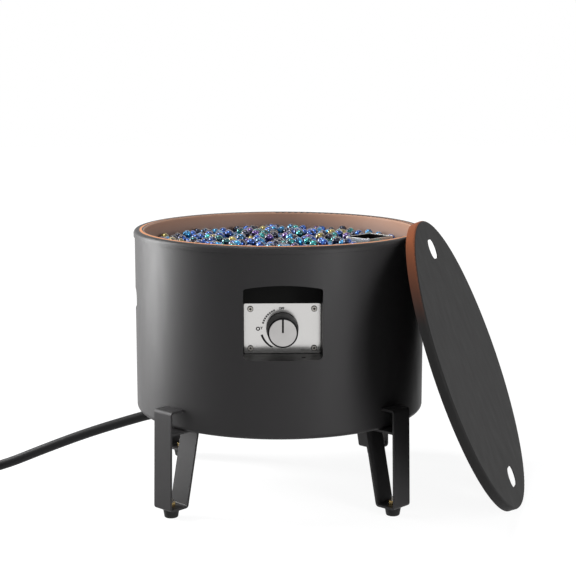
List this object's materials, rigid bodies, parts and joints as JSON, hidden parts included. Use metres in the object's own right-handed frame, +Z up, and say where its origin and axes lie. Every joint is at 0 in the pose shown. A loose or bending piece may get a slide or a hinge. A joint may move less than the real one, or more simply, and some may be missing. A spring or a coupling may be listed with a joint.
{
  "type": "portable propane fire pit",
  "caption": "Round free-standing gas fire pit: sheet drum with fire bowl, glass filling, ring burner, control valve and knob, levelling feet, loose lid, hose and regulator.",
  "frame": {"origin": "point of the floor under the middle of the drum", "axes": "+Z up, the control panel faces -Y, +X to the right as seen from the panel, towards the leaning lid"},
  "size_m": [0.9764, 0.4896, 0.3844],
  "materials": {
    "drum_coat": "satin heat-proof paint",
    "stainless": "brushed",
    "zinc_steel": "zinc plated",
    "glass_fill": "iridescent glass beads",
    "knob_plastic": "gloss black",
    "knob_metal": "satin",
    "brass": "turned brass",
    "copper": "drawn copper",
    "cast_metal": "cast",
    "rubber": "black rubber",
    "nut_plastic": "moulded",
    "ceramic": null
  },
  "bodies": {
    "frame": {"drum_shell": "drum_coat", "burner_pan": "drum_coat", "panel_box": "drum_coat", "base_plate": "drum_coat", "leg_bar_front_left": "drum_coat", "leg_bar_front_right": "drum_coat", "leg_bar_rear_right": "drum_coat", "leg_bar_rear_left": "drum_coat", "control_plate": "stainless", "burner_ring": "stainless", "igniter_guard": "stainless", "igniter_bracket": "stainless", "heat_shield": "zinc_steel", "panel_screws": "zinc_steel", "valve_screws": "zinc_steel", "leg_screws": "zinc_steel", "leg_nuts": "zinc_steel", "burner_nut": "zinc_steel", "bonnet_screws": "zinc_steel", "thermocouple_probe": "zinc_steel", "glass_bed": "glass_fill", "foot_nuts": "brass", "valve_body": "brass", "valve_cap": "brass", "orifice_elbow": "brass", "inlet_elbow": "brass", "inlet_locknut": "brass", "feed_tube_nuts": "brass", "hose_sleeve": "brass", "regulator_sleeve": "brass", "tank_nipple": "brass", "feed_tube": "copper", "thermocouple_lead": "copper", "regulator_body": "cast_metal", "regulator_bonnet": "cast_metal", "air_mixer": "cast_metal", "hose_run": "rubber", "hose_coil": "rubber", "ignition_lead": "rubber", "igniter_electrode": "ceramic"},
    "valve": {"valve_plug": "brass", "stem_spring": "zinc_steel"},
    "knob": {"knob": "knob_plastic", "knob_face": "knob_metal", "valve_stem": "zinc_steel"},
    "lid": {"lid": "drum_coat"},
    "tank_nut": {"tank_nut": "nut_plastic"},
    "foot_front_left": {"foot_pad_front_left": "rubber", "foot_stud_front_left": "zinc_steel"},
    "foot_front_right": {"foot_pad_front_right": "rubber", "foot_stud_front_right": "zinc_steel"},
    "foot_rear_right": {"foot_pad_rear_right": "rubber", "foot_stud_rear_right": "zinc_steel"},
    "foot_rear_left": {"foot_pad_rear_left": "rubber", "foot_stud_rear_left": "zinc_steel"}
  },
  "joints": [
    {"name": "valve_turn", "type": "hinge", "parent": "frame", "child": "valve", "pos_m": [0, -0.13, 0.256], "axis": [0, -1, 0], "range_deg": [0, 180]},
    {"name": "knob_push", "type": "slide", "parent": "valve", "child": "knob", "axis": [0, 1, 0], "range_m": [0, 0.004], "stiffness_N_per_m": 1500, "springref_m": -0.002},
    {"name": "lid_lift", "type": "slide", "parent": "frame", "child": "lid", "axis": [0, 0, 1], "range_m": [0, 0.3]},
    {"name": "tank_nut_turn", "type": "hinge", "parent": "frame", "child": "tank_nut", "pos_m": [-0.5975, -0.2048, 0.0231], "axis": [0, -1, 0], "continuous": true},
    {"name": "foot_screw_front_left", "type": "slide", "parent": "frame", "child": "foot_front_left", "axis": [0, 0, 1], "range_m": [-0.005, 0]},
    {"name": "foot_screw_front_right", "type": "slide", "parent": "frame", "child": "foot_front_right", "axis": [0, 0, 1], "range_m": [-0.005, 0]},
    {"name": "foot_screw_rear_right", "type": "slide", "parent": "frame", "child": "foot_rear_right", "axis": [0, 0, 1], "range_m": [-0.005, 0]},
    {"name": "foot_screw_rear_left", "type": "slide", "parent": "frame", "child": "foot_rear_left", "axis": [0, 0, 1], "range_m": [-0.005, 0]}
  ]
}
